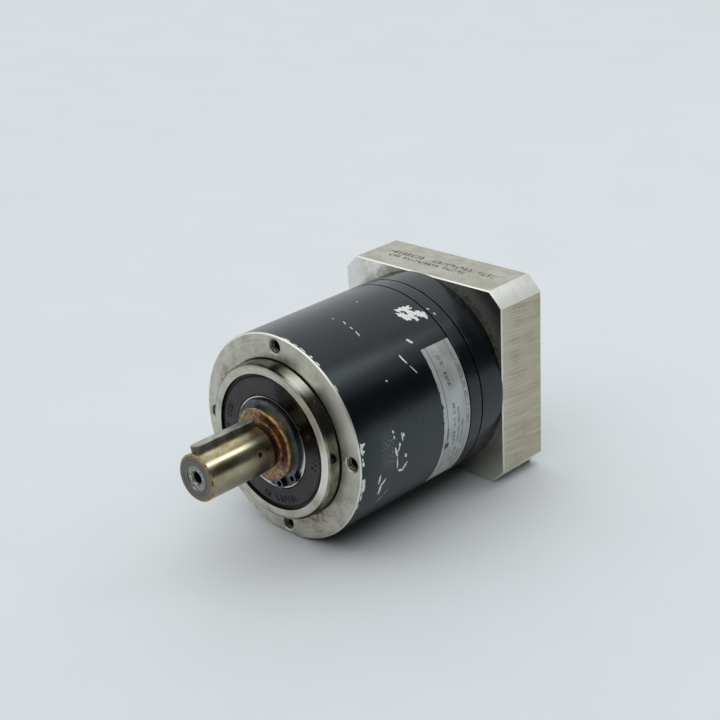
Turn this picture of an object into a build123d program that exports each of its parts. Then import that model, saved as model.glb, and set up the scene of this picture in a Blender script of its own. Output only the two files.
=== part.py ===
from build123d import *
import math
import os

# Inline planetary gearbox with a 90 mm round body, a keyed output shaft, one planetary stage
# and a square plate for the motor. Millimetres. The gear axis is Y: the output shaft points
# to -Y, the motor sits on the +Y side, and +Z is up. The origin is the centre of the output
# mounting face. Angles are degrees in the XZ plane, counter-clockwise as seen from the output.

# --- driving dimensions -------------------------------------------------------------------

# casing, by stations along the axis
BODY_R = 45.0
PILOT_R = 34.0
PILOT_FRONT = -6.4
FLANGE_BOLT_R = 40.0
TAPPED_R = 3.0
TAPPED_MOUTH_R = 3.65
HOUSING_END = 66.7
FLANGE_END = 74.4
PLATE_FRONT = 88.0
PLATE_REAR = 115.0
PLATE_WIDTH = 90.0
PLATE_CORNER_R = 59.2
JOINT_CHAMFER = 0.3

# output shaft
SHAFT_R = 10.0
SHAFT_END = -46.0
SHOULDER_Y = -10.0
KEY_WIDTH = 6.0
KEY_LENGTH = 32.0
KEY_FRONT = -44.0
KEY_SEAT_R = 6.5
KEY_ANGLE = 104.0
RETAINING_LUG_ANGLE = -58.5

# gears
MODULE = 0.9
PRESSURE_ANGLE = 20.0
SUN_TEETH = 18
PLANET_TEETH = 27
RING_TEETH = 72
FLANK_CLEARANCE = 0.04
PLANET_ANGLES = (90.0, 210.0, 330.0)
CENTRE_DISTANCE = MODULE * (SUN_TEETH + PLANET_TEETH) / 2
PLANET_FRONT = 40.0
PLANET_END = 56.0
RING_FRONT = 39.5
RING_END = 57.5
RING_OUTER_R = 37.0

# output bearings (30 x 62 x 16) and input bearing (30 x 47 x 9)
BEARING_BORE_R = 15.0
OUTPUT_BEARING_R = 31.0
OUTPUT_BEARING_WIDTH = 16.0
FRONT_BEARING_Y = -5.0
SECOND_BEARING_Y = 14.0
INPUT_BEARING_R = 23.5
INPUT_BEARING_WIDTH = 9.0
INPUT_BEARING_Y = 64.4
BALL_CLEARANCE = 0.03

# planet carrier
CARRIER_R = 31.0
CARRIER_FRONT = 33.0
CARRIER_FACE = 39.0
CARRIER_PLATE_Y = 57.0
CARRIER_PLATE_END = 61.5
CARRIER_SCREW_R = 26.0
PIN_R = 4.0
PLANET_BORE_R = 6.2
ROLLER_R = 1.07
ROLLER_COUNT = 14

# casing screws
SCREW_CIRCLE_R = 40.2
SCREW_COUNT = 8
SCREW_HEAD_SEAT = 83.5
PLATE_SCREW_CIRCLE_R = 35.2
PLATE_SCREW_SEAT = 104.0

# motor side
REGISTER_R = 31.5
PLATE_BORE_R = 29.5
MOTOR_PILOT_R = 40.0
MOTOR_PILOT_DEPTH = 4.0
MOTOR_BOLT_R = 50.0
MOTOR_SHAFT_R = 9.5
CLAMP_HUB_R = 17.0
CLAMP_RING_R = 25.5
CLAMP_RING_FRONT = 94.0
CLAMP_RING_REAR = 106.0
CLAMP_SCREW_Z = 21.0
CLAMP_GAP = 2.0
ACCESS_HOLE_R = 5.5

# name label on the +X side of the body
LABEL_FRONT = 49.5
LABEL_REAR = 66.2
LABEL_HALF_ANGLE = 42.0
LABEL_THICKNESS = 0.15


# --- building blocks ----------------------------------------------------------------------

def turned(outline):
    """A solid turned about the gear axis from (radius, y) corners."""
    return revolve(make_face(Polyline(*outline, close=True)), Axis.Y)


def ring(inner_r, outer_r, front, rear):
    return turned([(inner_r, front), (outer_r, front), (outer_r, rear), (inner_r, rear)])


def rod(radius, front, rear, circle_r=0.0, angle=0.0):
    """A cylinder parallel to the gear axis, on a bolt circle when circle_r is given."""
    x = circle_r * math.cos(math.radians(angle))
    z = circle_r * math.sin(math.radians(angle))
    return Pos(x, (front + rear) / 2, z) * Rot(X=90) * Cylinder(radius, rear - front)


def rods(radius, front, rear, circle_r, angles):
    return [rod(radius, front, rear, circle_r, angle) for angle in angles]


def turn(angle, shape):
    """The shape turned about the gear axis, counter-clockwise as seen from the output."""
    return Rot(Y=-angle) * shape


def round_torus(major_r, minor_r, y):
    return Pos(0, y, 0) * Rot(X=90) * Torus(major_r, minor_r)


def spread(count, first=0.0):
    return [first + 360.0 * i / count for i in range(count)]


def tapped_hole(mouth, bottom):
    """The space of a blind M6 hole on the gear axis, countersunk at its mouth and pointed at its bottom."""
    inward = math.copysign(1, bottom - mouth)
    return turned([
        (0, mouth), (TAPPED_MOUTH_R, mouth), (TAPPED_R, mouth + 0.45 * inward), (TAPPED_R, bottom),
        (0, bottom + 1.7 * inward)])


def flat_extrusion(sketch, front, rear):
    """A sketch whose X and Y become the gearbox X and Z, spanning front to rear."""
    return Pos(0, rear, 0) * Rot(X=90) * extrude(sketch, amount=rear - front)


def group(solids):
    return Compound(children=list(solids))


def write(name, shape):
    export_step(shape, f"parts/{name}.step")


# --- gear teeth ---------------------------------------------------------------------------

def polar(radius, radians):
    return (radius * math.cos(radians), radius * math.sin(radians))


def involute_swing(base_r, radius):
    """The involute function at the pressure angle that the flank has at a radius."""
    pressure = math.acos(min(1.0, base_r / radius))
    return math.tan(pressure) - pressure


def half_tooth(radius, teeth, side):
    """Half the angle that a tooth fills at a radius: side is 1 for an outer gear, -1 for the ring."""
    pitch_r = MODULE * teeth / 2
    base_r = pitch_r * math.cos(math.radians(PRESSURE_ANGLE))
    at_pitch = math.pi / (2 * teeth) - FLANK_CLEARANCE / pitch_r
    return at_pitch + side * (involute_swing(base_r, pitch_r) - involute_swing(base_r, radius))


def gear_face(teeth, root_r, tip_r, side, phase):
    """The outline of all teeth, with one tooth centred at the phase angle in degrees."""
    base_r = MODULE * teeth / 2 * math.cos(math.radians(PRESSURE_ANGLE))
    foot_r = max(root_r, base_r)
    middle_r = (foot_r + tip_r) / 2
    foot, middle, tip = (half_tooth(r, teeth, side) for r in (foot_r, middle_r, tip_r))
    pitch = 2 * math.pi / teeth
    edges = []
    for tooth in range(teeth):
        centre = math.radians(phase) + pitch * tooth
        up = [polar(foot_r, centre - foot), polar(middle_r, centre - middle), polar(tip_r, centre - tip)]
        down = [polar(tip_r, centre + tip), polar(middle_r, centre + middle), polar(foot_r, centre + foot)]
        root_start = polar(root_r, centre + foot)
        root_end = polar(root_r, centre + pitch - foot)
        edges.append(ThreePointArc(*up))
        edges.append(ThreePointArc(up[-1], polar(tip_r, centre), down[0]))
        edges.append(ThreePointArc(*down))
        edges.append(ThreePointArc(root_start, polar(root_r, centre + pitch / 2), root_end))
        if foot_r > root_r:
            edges.append(Line(down[-1], root_start))
            edges.append(Line(root_end, polar(foot_r, centre + pitch - foot)))
    return make_face(edges)


def planet_phase(planet_angle):
    """The turn of a planet that meshes with a sun that has a tooth at 0 degrees."""
    at_sun = (planet_angle * SUN_TEETH / 360) % 1.0
    return planet_angle + 180 - (0.5 - at_sun) * 360 / PLANET_TEETH


def ring_phase(planet_angle):
    """The turn of the ring gear that meshes with that planet."""
    at_ring = (planet_angle - planet_phase(planet_angle)) * PLANET_TEETH / 360 - 0.5
    return planet_angle - at_ring * 360 / RING_TEETH


# --- ball bearings ------------------------------------------------------------------------

def ball_bearing(front, width, outer_r, pitch_r, ball_r, count, land):
    """Outer ring, inner ring, balls and cage. land is half the radial gap between the rings."""
    middle = front + width / 2
    rear = front + width
    edge = 0.6
    groove = round_torus(pitch_r, ball_r + BALL_CLEARANCE, middle)
    outer = turned([
        (pitch_r + land, front), (outer_r - edge, front), (outer_r, front + edge),
        (outer_r, rear - edge), (outer_r - edge, rear), (pitch_r + land, rear)]) - groove
    inner = turned([
        (BEARING_BORE_R + edge, front), (pitch_r - land, front), (pitch_r - land, rear),
        (BEARING_BORE_R + edge, rear), (BEARING_BORE_R, rear - edge),
        (BEARING_BORE_R, front + edge)]) - groove
    rim = 1.15 * ball_r
    cage = ring(pitch_r - land / 3, pitch_r + land / 3, middle - rim, middle + rim)
    pocket = Rot(Y=90) * Cylinder(ball_r + BALL_CLEARANCE, 2 * land)
    cage -= [turn(angle, Pos(pitch_r, middle, 0) * pocket) for angle in spread(count)]
    balls = [turn(angle, Pos(pitch_r, middle, 0) * Sphere(ball_r)) for angle in spread(count)]
    return outer, inner, group(balls), cage


def write_bearing(name, bearing):
    for piece, shape in zip(("outer_ring", "inner_ring", "balls", "cage"), bearing):
        write(f"{name}_bearing_{piece}", shape)


# --- retaining rings ----------------------------------------------------------------------

def shaft_ring_face():
    """External retaining ring for a 30 mm shaft, with its two lugs below, at -90 degrees."""
    seat_r = 14.3
    lug_r = 17.5
    lugs = [Pos(*polar(lug_r, math.radians(-90 + side * 15.5))) * Circle(2.2) for side in (-1, 1)]
    necks = [Rot(Z=-90 + side * 15.5) * Pos(15.8, 0) * Rectangle(3.4, 4.2) for side in (-1, 1)]
    holes = [Pos(*polar(lug_r, math.radians(-90 + side * 15.5))) * Circle(1.25) for side in (-1, 1)]
    band = Pos(0, 0.85) * Circle(18.1)
    opening = Pos(0, -16) * Rectangle(5.4, 10)
    return band + lugs + necks - Circle(seat_r) - holes - opening


def bore_ring_face():
    """Internal retaining ring for a 62 mm bore, with its two lugs at -90 degrees."""
    seat_r = 32.5
    lug_r = 28.6
    lugs = [Pos(*polar(lug_r, math.radians(-90 + side * 9))) * Circle(2.6) for side in (-1, 1)]
    holes = [Pos(*polar(lug_r, math.radians(-90 + side * 9))) * Circle(1.25) for side in (-1, 1)]
    band = Circle(seat_r) - Pos(0, -0.8) * Circle(28.6)
    opening = Pos(0, -29) * Rectangle(3.6, 10)
    return band + lugs - holes - opening


# --- casing -------------------------------------------------------------------------------

def main_housing():
    shell = turned([
        (29.6, PILOT_FRONT), (32.4, PILOT_FRONT), (PILOT_R, PILOT_FRONT + 0.8), (PILOT_R, -0.8),
        (33.5, -0.8), (33.5, 0.4), (34.6, 0.4), (34.6, 0), (BODY_R - 0.6, 0), (BODY_R, 0.6),
        (BODY_R, HOUSING_END - JOINT_CHAMFER),
        (BODY_R - JOINT_CHAMFER, HOUSING_END), (RING_OUTER_R, HOUSING_END), (RING_OUTER_R, RING_FRONT),
        (33.5, RING_FRONT), (33.5, 32.8), (OUTPUT_BEARING_R, 32.8), (OUTPUT_BEARING_R, 32),
        (32.5, 32), (32.5, 30), (OUTPUT_BEARING_R, 30), (OUTPUT_BEARING_R, FRONT_BEARING_Y),
        (29.6, FRONT_BEARING_Y)])
    shell -= [turn(angle, Pos(FLANGE_BOLT_R, 0, 0) * tapped_hole(0, 13)) for angle in spread(4)]
    shell -= rods(2.0, 57, HOUSING_END, SCREW_CIRCLE_R, spread(SCREW_COUNT, 22.5))
    return shell


def intermediate_flange():
    shell = turned([
        (32.5, RING_END), (RING_OUTER_R, RING_END), (RING_OUTER_R, 60), (35.7, 60), (35.7, 62),
        (RING_OUTER_R, 62), (RING_OUTER_R, HOUSING_END), (BODY_R - JOINT_CHAMFER, HOUSING_END),
        (BODY_R, HOUSING_END + JOINT_CHAMFER), (BODY_R, FLANGE_END - JOINT_CHAMFER),
        (BODY_R - JOINT_CHAMFER, FLANGE_END), (28.2, FLANGE_END), (28.2, 73.2), (26.2, 73.2),
        (26.2, FLANGE_END), (INPUT_BEARING_R, FLANGE_END), (INPUT_BEARING_R, INPUT_BEARING_Y),
        (21, INPUT_BEARING_Y), (21, 62.5), (32.5, 62.5)])
    return shell - rods(2.2, HOUSING_END, FLANGE_END, SCREW_CIRCLE_R, spread(SCREW_COUNT, 22.5))


def rear_housing():
    shell = turned([
        (21, FLANGE_END), (BODY_R - JOINT_CHAMFER, FLANGE_END), (BODY_R, FLANGE_END + JOINT_CHAMFER),
        (BODY_R, PLATE_FRONT), (REGISTER_R, PLATE_FRONT), (REGISTER_R, 82.4),
        (INPUT_BEARING_R, 82.4), (INPUT_BEARING_R, 75.4), (21, 75.4)])
    shell -= rods(2.2, FLANGE_END, SCREW_HEAD_SEAT, SCREW_CIRCLE_R, spread(SCREW_COUNT, 22.5))
    shell -= rods(3.7, SCREW_HEAD_SEAT, PLATE_FRONT, SCREW_CIRCLE_R, spread(SCREW_COUNT, 22.5))
    return shell - rods(2.5, 77, PLATE_FRONT, PLATE_SCREW_CIRCLE_R, spread(4))


def adapter_plate():
    length = PLATE_REAR - PLATE_FRONT
    plate = Pos(0, PLATE_FRONT + length / 2, 0) * Box(PLATE_WIDTH, length, PLATE_WIDTH)
    plate &= rod(PLATE_CORNER_R, PLATE_FRONT, PLATE_REAR)
    ends = plate.faces().sort_by(Axis.Y)
    plate = chamfer(ends[0].edges() + ends[-1].edges(), 0.5)
    plate += ring(PLATE_BORE_R, REGISTER_R, 85, PLATE_FRONT)
    plate -= rod(PLATE_BORE_R, 85, PLATE_REAR)
    plate -= rod(MOTOR_PILOT_R, PLATE_REAR - MOTOR_PILOT_DEPTH, PLATE_REAR)
    plate -= rods(2.75, PLATE_FRONT, PLATE_SCREW_SEAT, PLATE_SCREW_CIRCLE_R, spread(4))
    plate -= rods(4.7, PLATE_SCREW_SEAT, PLATE_REAR - MOTOR_PILOT_DEPTH, PLATE_SCREW_CIRCLE_R, spread(4))
    plate -= [turn(a, Pos(MOTOR_BOLT_R, 0, 0) * tapped_hole(PLATE_REAR, 97)) for a in spread(4, 45)]
    access = Pos(-36, clamp_screw_y(), CLAMP_SCREW_Z) * Rot(Y=90) * Cylinder(ACCESS_HOLE_R, 22)
    return plate - access


def clamp_screw_y():
    return (CLAMP_RING_FRONT + CLAMP_RING_REAR) / 2


def access_plug():
    """A press-in plug in the hole that reaches the clamp screw, flush with the plate's side."""
    body = Pos(-41.9, clamp_screw_y(), CLAMP_SCREW_Z) * Rot(Y=90) * Cylinder(ACCESS_HOLE_R, 6)
    socket = Rot(Y=90) * extrude(RegularPolygon(3, 6), amount=3)
    return body - Pos(-45, clamp_screw_y(), CLAMP_SCREW_Z) * socket


def casing_screws():
    """Cap screws from the rear housing, through the flange, into the main housing."""
    screw = rod(2.0, 58.5, SCREW_HEAD_SEAT) + rod(3.5, SCREW_HEAD_SEAT, 87.5)
    screw -= flat_extrusion(RegularPolygon(1.73, 6), 85.5, 87.5)
    return group([turn(angle, Pos(SCREW_CIRCLE_R, 0, 0) * screw) for angle in spread(SCREW_COUNT, 22.5)])


def plate_screws():
    screw = rod(2.5, 79, PLATE_SCREW_SEAT) + rod(4.25, PLATE_SCREW_SEAT, 109)
    screw -= flat_extrusion(RegularPolygon(2.31, 6), 106.5, 109)
    return group([turn(angle, Pos(PLATE_SCREW_CIRCLE_R, 0, 0) * screw) for angle in spread(4)])


def front_bearing_seal():
    """Rubber faced seal ring that closes the front bearing around the shaft's support washer."""
    return turned([
        (20.3, -5.7), (20.5, -5.9), (27.7, -5.9), (28.2, -5.4), (28.2, FRONT_BEARING_Y),
        (26.5, FRONT_BEARING_Y), (26.5, -4.3), (20.3, -4.3)])


def input_shaft_seal():
    """Lip seal with its rubber case, its rear face and its sharp lip on the input journal."""
    return turned([
        (21.9, 75.4), (INPUT_BEARING_R, 75.4), (INPUT_BEARING_R, 82.4), (16.2, 82.4), (15.8, 81.6),
        (16.9, 80.6), (16.9, 79.2), (15.06, 77.6), (15.9, 76.2), (18.2, 76.2), (18.8, 80.4),
        (21.9, 80.4)])


def wave_washer():
    return ring(20.2, 23.3, INPUT_BEARING_Y + INPUT_BEARING_WIDTH, FLANGE_END)


def name_label():
    """A thin metal foil wrapped round the body on its +X side."""
    band = ring(BODY_R, BODY_R + LABEL_THICKNESS, LABEL_FRONT, LABEL_REAR)
    reach = 2 * BODY_R
    wedge = Polyline(
        (0, 0), polar(reach, -math.radians(LABEL_HALF_ANGLE)), (reach, 0),
        polar(reach, math.radians(LABEL_HALF_ANGLE)), close=True)
    return band & flat_extrusion(make_face(wedge), LABEL_FRONT - 1, LABEL_REAR + 1)


# --- output shaft and carrier -------------------------------------------------------------

def key_prism(width):
    """The round ended key, seated in the shaft at the key angle."""
    outline = Rot(Z=90) * SlotOverall(KEY_LENGTH, width)
    upright = Pos(0, KEY_FRONT + KEY_LENGTH / 2, KEY_SEAT_R) * extrude(outline, amount=KEY_WIDTH)
    return turn(KEY_ANGLE - 90, upright)


def shaft_key():
    key = key_prism(KEY_WIDTH)
    top = key.faces().sort_by(SortBy.AREA)[-2:].edges()
    return chamfer(top, 0.25)


def output_shaft():
    shaft = turned([
        (0, SHAFT_END), (SHAFT_R - 0.7, SHAFT_END), (SHAFT_R, SHAFT_END + 0.7), (SHAFT_R, -13.2),
        (SHAFT_R - 0.4, -13), (SHAFT_R - 0.4, -10.6), (SHAFT_R + 0.5, -10.4), (SHAFT_R + 0.5, SHOULDER_Y),
        (14.3, SHOULDER_Y), (BEARING_BORE_R, -9.3), (BEARING_BORE_R, -7.45), (14.3, -7.45), (14.3, -5.85),
        (BEARING_BORE_R, -5.85), (BEARING_BORE_R, 30), (18.5, 30), (18.5, CARRIER_FRONT),
        (CARRIER_R - 0.5, CARRIER_FRONT), (CARRIER_R, CARRIER_FRONT + 0.5), (CARRIER_R, CARRIER_FACE),
        (11, CARRIER_FACE), (11, 36.5), (0, 36.5)])
    bridges = ring(15.5, 30.5, CARRIER_FACE, CARRIER_PLATE_Y)
    bridges -= rods(13.7, CARRIER_FACE, CARRIER_PLATE_Y, CENTRE_DISTANCE, PLANET_ANGLES)
    shaft += bridges
    shaft -= rods(PIN_R, 34.5, CARRIER_FACE, CENTRE_DISTANCE, PLANET_ANGLES)
    shaft -= rods(2.0, 47, CARRIER_PLATE_Y, CARRIER_SCREW_R, [a + 60 for a in PLANET_ANGLES])
    shaft -= key_prism(KEY_WIDTH)
    centre = turned([
        (0, SHAFT_END), (5.2, SHAFT_END), (5.0, SHAFT_END + 0.4), (3.1, SHAFT_END + 0.4),
        (2.5, SHAFT_END + 1.6), (2.5, SHAFT_END + 16), (0, SHAFT_END + 17.5)])
    dimple = Pos(SHAFT_R, -20, 0) * Rot(Y=-90) * Cone(2.0, 0.4, 1.6)
    return shaft - centre - turn(17, dimple)


def carrier_rear_plate():
    plate = ring(12, 30.5, CARRIER_PLATE_Y, CARRIER_PLATE_END)
    plate -= rods(PIN_R, CARRIER_PLATE_Y, CARRIER_PLATE_END, CENTRE_DISTANCE, PLANET_ANGLES)
    for angle in PLANET_ANGLES:
        plate -= turn(angle + 60, Pos(CARRIER_SCREW_R, 0, 0) * countersunk_screw(2.0, 4.0))
    return plate


def countersunk_screw(thread_r, head_r):
    """One carrier screw on the gear axis, its flat head flush with the rear plate."""
    head = head_r - thread_r
    return turned([
        (0, 48), (thread_r, 48), (thread_r, CARRIER_PLATE_END - head), (head_r, CARRIER_PLATE_END),
        (0, CARRIER_PLATE_END)])


def carrier_screws():
    screw = countersunk_screw(2.0, 4.0) - flat_extrusion(RegularPolygon(1.44, 6), 60, CARRIER_PLATE_END)
    return group([turn(a + 60, Pos(CARRIER_SCREW_R, 0, 0) * screw) for a in PLANET_ANGLES])


def planet_thrust_washers():
    washers = []
    for angle in PLANET_ANGLES:
        x, z = polar(CENTRE_DISTANCE, math.radians(angle))
        for front in (CARRIER_FACE, PLANET_END + 0.1):
            washers.append(Pos(x, 0, z) * ring(PIN_R + 0.05, 8.6, front, front + 0.9))
    return group(washers)


# --- planets ------------------------------------------------------------------------------

def planet_gear(angle):
    pitch_r = MODULE * PLANET_TEETH / 2
    teeth = gear_face(PLANET_TEETH, pitch_r - 1.25 * MODULE, pitch_r + 0.85 * MODULE, 1, planet_phase(angle))
    gear = flat_extrusion(teeth - Circle(PLANET_BORE_R), PLANET_FRONT, PLANET_END)
    return Pos(*along(angle)) * gear


def planet_rollers(angle):
    """Needle rollers between a planet and its pin."""
    pitch_r = (PIN_R + PLANET_BORE_R) / 2 + 0.015
    rollers = rods(ROLLER_R, PLANET_FRONT + 1, PLANET_END - 1, pitch_r, spread(ROLLER_COUNT))
    return group([Pos(*along(angle)) * roller for roller in rollers])


def planet_pin(angle):
    return rod(PIN_R, 34.5, CARRIER_PLATE_END, CENTRE_DISTANCE, angle)


def along(angle):
    x, z = polar(CENTRE_DISTANCE, math.radians(angle))
    return (x, 0, z)


def ring_gear():
    pitch_r = MODULE * RING_TEETH / 2
    teeth = gear_face(RING_TEETH, pitch_r + 1.25 * MODULE, pitch_r - 0.7, -1, ring_phase(PLANET_ANGLES[0]))
    return flat_extrusion(Circle(RING_OUTER_R) - teeth, RING_FRONT, RING_END)


# --- input side ---------------------------------------------------------------------------

def input_shaft():
    """Sun gear, bearing journal and slotted clamp hub for the motor shaft, in one piece."""
    pitch_r = MODULE * SUN_TEETH / 2
    sun = flat_extrusion(
        gear_face(SUN_TEETH, pitch_r - 1.25 * MODULE, pitch_r + MODULE, 1, 0.0), 38.5, CARRIER_PLATE_Y)
    hub = turned([
        (0, CARRIER_PLATE_Y - 1), (6.8, CARRIER_PLATE_Y - 1), (6.8, 62.7), (CLAMP_HUB_R, 62.7),
        (CLAMP_HUB_R, INPUT_BEARING_Y), (BEARING_BORE_R, INPUT_BEARING_Y), (BEARING_BORE_R, 73.4),
        (14.3, 73.4), (14.3, 75), (BEARING_BORE_R, 75), (BEARING_BORE_R, 83.2), (CLAMP_HUB_R, 83.8),
        (CLAMP_HUB_R, 108.5), (CLAMP_HUB_R - 0.5, 109), (MOTOR_SHAFT_R + 0.7, 109),
        (MOTOR_SHAFT_R, 108.3), (MOTOR_SHAFT_R, 78), (0, 76)])
    slot = Pos(0, 98, 14) * Box(CLAMP_GAP, 24, 14)
    return sun + hub - slot


def clamp_ring():
    y = clamp_screw_y()
    band = ring(CLAMP_HUB_R, CLAMP_RING_R, CLAMP_RING_FRONT, CLAMP_RING_REAR)
    band -= Pos(0, y, CLAMP_SCREW_Z) * Box(CLAMP_GAP, 14, 12)
    band -= Pos(-12, y, CLAMP_SCREW_Z) * Rot(Y=90) * Cylinder(4.5, 8)
    band -= Pos(-4, y, CLAMP_SCREW_Z) * Rot(Y=90) * Cylinder(2.75, 8)
    return band - Pos(5, y, CLAMP_SCREW_Z) * Rot(Y=90) * Cylinder(2.5, 10)


def clamp_screw():
    y = clamp_screw_y()
    screw = Pos(0, y, CLAMP_SCREW_Z) * Rot(Y=90) * Cylinder(2.5, 16)
    screw += Pos(-10.5, y, CLAMP_SCREW_Z) * Rot(Y=90) * Cylinder(4.25, 5)
    socket = Rot(Y=90) * extrude(RegularPolygon(2.31, 6), amount=2.5)
    return screw - Pos(-13, y, CLAMP_SCREW_Z) * socket


# --- the assembly -------------------------------------------------------------------------

os.makedirs("parts", exist_ok=True)

write("main_housing", main_housing())
write("intermediate_flange", intermediate_flange())
write("rear_housing", rear_housing())
write("adapter_plate", adapter_plate())
write("access_plug", access_plug())
write("casing_screws", casing_screws())
write("plate_screws", plate_screws())
write("flange_o_ring", round_torus(36.35, 0.65, 61))
write("rear_housing_o_ring", round_torus(27.2, 0.6, 73.8))
write("front_bearing_seal", front_bearing_seal())
write("input_shaft_seal", input_shaft_seal())
write("wave_washer", wave_washer())
write("name_label", name_label())
write("ring_gear", ring_gear())

for name, front in (("front", FRONT_BEARING_Y), ("second", SECOND_BEARING_Y)):
    write_bearing(name, ball_bearing(front, OUTPUT_BEARING_WIDTH, OUTPUT_BEARING_R, 23, 4.7625, 9, 3.5))
input_bearing = ball_bearing(INPUT_BEARING_Y, INPUT_BEARING_WIDTH, INPUT_BEARING_R, 19.25, 2.38, 16, 1.8)
write_bearing("input", input_bearing)
write("outer_bearing_spacer", ring(27.5, OUTPUT_BEARING_R, 11, SECOND_BEARING_Y))
write("inner_bearing_spacer", ring(BEARING_BORE_R, 18.5, 11, SECOND_BEARING_Y))
write("bearing_retaining_ring", flat_extrusion(bore_ring_face(), 30, 32))

write("output_shaft", output_shaft())
write("shaft_key", shaft_key())
write("support_washer", ring(BEARING_BORE_R, 19.9, -5.85, FRONT_BEARING_Y))
write("shaft_retaining_ring", turn(RETAINING_LUG_ANGLE + 90, flat_extrusion(shaft_ring_face(), -7.4, -5.9)))
write("carrier_rear_plate", carrier_rear_plate())
write("carrier_screws", carrier_screws())
write("planet_thrust_washers", planet_thrust_washers())
for number, angle in enumerate(PLANET_ANGLES, 1):
    write(f"planet_pin_{number}", planet_pin(angle))
    write(f"planet_gear_{number}", planet_gear(angle))
    write(f"planet_rollers_{number}", planet_rollers(angle))

write("input_shaft", input_shaft())
write("input_retaining_ring", flat_extrusion(shaft_ring_face(), 73.45, 74.95))
write("clamp_ring", clamp_ring())
write("clamp_screw", clamp_screw())
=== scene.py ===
import math

import bpy
from mathutils import Matrix, Vector, noise


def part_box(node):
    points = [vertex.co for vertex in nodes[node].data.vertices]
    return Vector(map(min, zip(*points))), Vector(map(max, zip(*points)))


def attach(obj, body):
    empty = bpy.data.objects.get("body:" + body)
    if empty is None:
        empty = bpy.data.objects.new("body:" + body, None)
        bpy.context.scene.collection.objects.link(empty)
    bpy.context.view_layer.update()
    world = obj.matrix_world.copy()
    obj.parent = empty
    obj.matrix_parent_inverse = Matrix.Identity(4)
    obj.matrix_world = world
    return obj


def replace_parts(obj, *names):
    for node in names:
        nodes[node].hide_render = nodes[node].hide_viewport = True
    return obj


# The looks of the planetary gearbox: a finish for each CAD node, screw threads in the tapped holes,
# the foil name label, and the studio. Finishes are written in the gearbox's own terms, in millimetres:
# y along the gear axis, radius from it, and angle round it in degrees, 0 at +X and 90 at +Z.

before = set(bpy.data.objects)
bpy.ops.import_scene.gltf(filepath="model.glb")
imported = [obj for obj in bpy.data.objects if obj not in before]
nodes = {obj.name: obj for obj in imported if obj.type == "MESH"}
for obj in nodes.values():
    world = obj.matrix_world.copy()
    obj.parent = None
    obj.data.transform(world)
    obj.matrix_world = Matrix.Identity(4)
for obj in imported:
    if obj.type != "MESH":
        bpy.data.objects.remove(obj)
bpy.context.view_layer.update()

MM = 0.001


def extent(node, axis):
    """The lowest and highest place of a CAD node along an axis, in millimetres."""
    low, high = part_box(node)
    return low[axis] / MM, high[axis] / MM


BODY_R = extent("main_housing", 0)[1]
JOINTS = (extent("main_housing", 1)[1], extent("intermediate_flange", 1)[1])
PLATE_FRONT, PLATE_REAR = extent("rear_housing", 1)[1], extent("adapter_plate", 1)[1]
SHAFT_END = extent("output_shaft", 1)[0]
LABEL_FRONT, LABEL_REAR = extent("name_label", 1)
FLANGE_HOLE_CIRCLE_R = 40.0
MOTOR_HOLE_CIRCLE_R = 50.0
TAPPED_R = 3.0
CENTRE_HOLE_R = 2.5
FLANGE_THREADS = (0.9, 12.0)
MOTOR_THREADS = (98.0, PLATE_REAR - 0.9)
CENTRE_THREADS = (SHAFT_END + 2.2, SHAFT_END + 14.5)
LABEL_HALF_ANGLE = 42.0
CHIP_R = BODY_R + 0.012


# --- node graphs, written as sums ---------------------------------------------------------------

class Value:
    """A number that varies over a surface: an output of a shader node, with arithmetic."""

    def __init__(self, graph, socket):
        self.graph = graph
        self.socket = socket

    def math(self, operation, *others):
        return self.graph.math(operation, self, *others)

    def __add__(self, other):
        return self.math("ADD", other)

    def __sub__(self, other):
        return self.math("SUBTRACT", other)

    def __mul__(self, other):
        return self.math("MULTIPLY", other)

    def __truediv__(self, other):
        return self.math("DIVIDE", other)

    def __rsub__(self, other):
        return self.graph.math("SUBTRACT", other, self)

    __radd__ = __add__
    __rmul__ = __mul__

    def rise(self, low, high):
        """0 up to low, 1 from high on, and smooth between."""
        node = self.graph.add("ShaderNodeMapRange", interpolation_type="SMOOTHSTEP")
        self.graph.feed(node.inputs["Value"], self)
        node.inputs["From Min"].default_value = low
        node.inputs["From Max"].default_value = high
        return Value(self.graph, node.outputs["Result"])

    def fall(self, low, high):
        return 1.0 - self.rise(low, high)

    def band(self, low, high, blur):
        """1 between low and high, 0 outside, with both rims blurred."""
        return self.rise(low - blur, low + blur) * self.fall(high - blur, high + blur)


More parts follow.
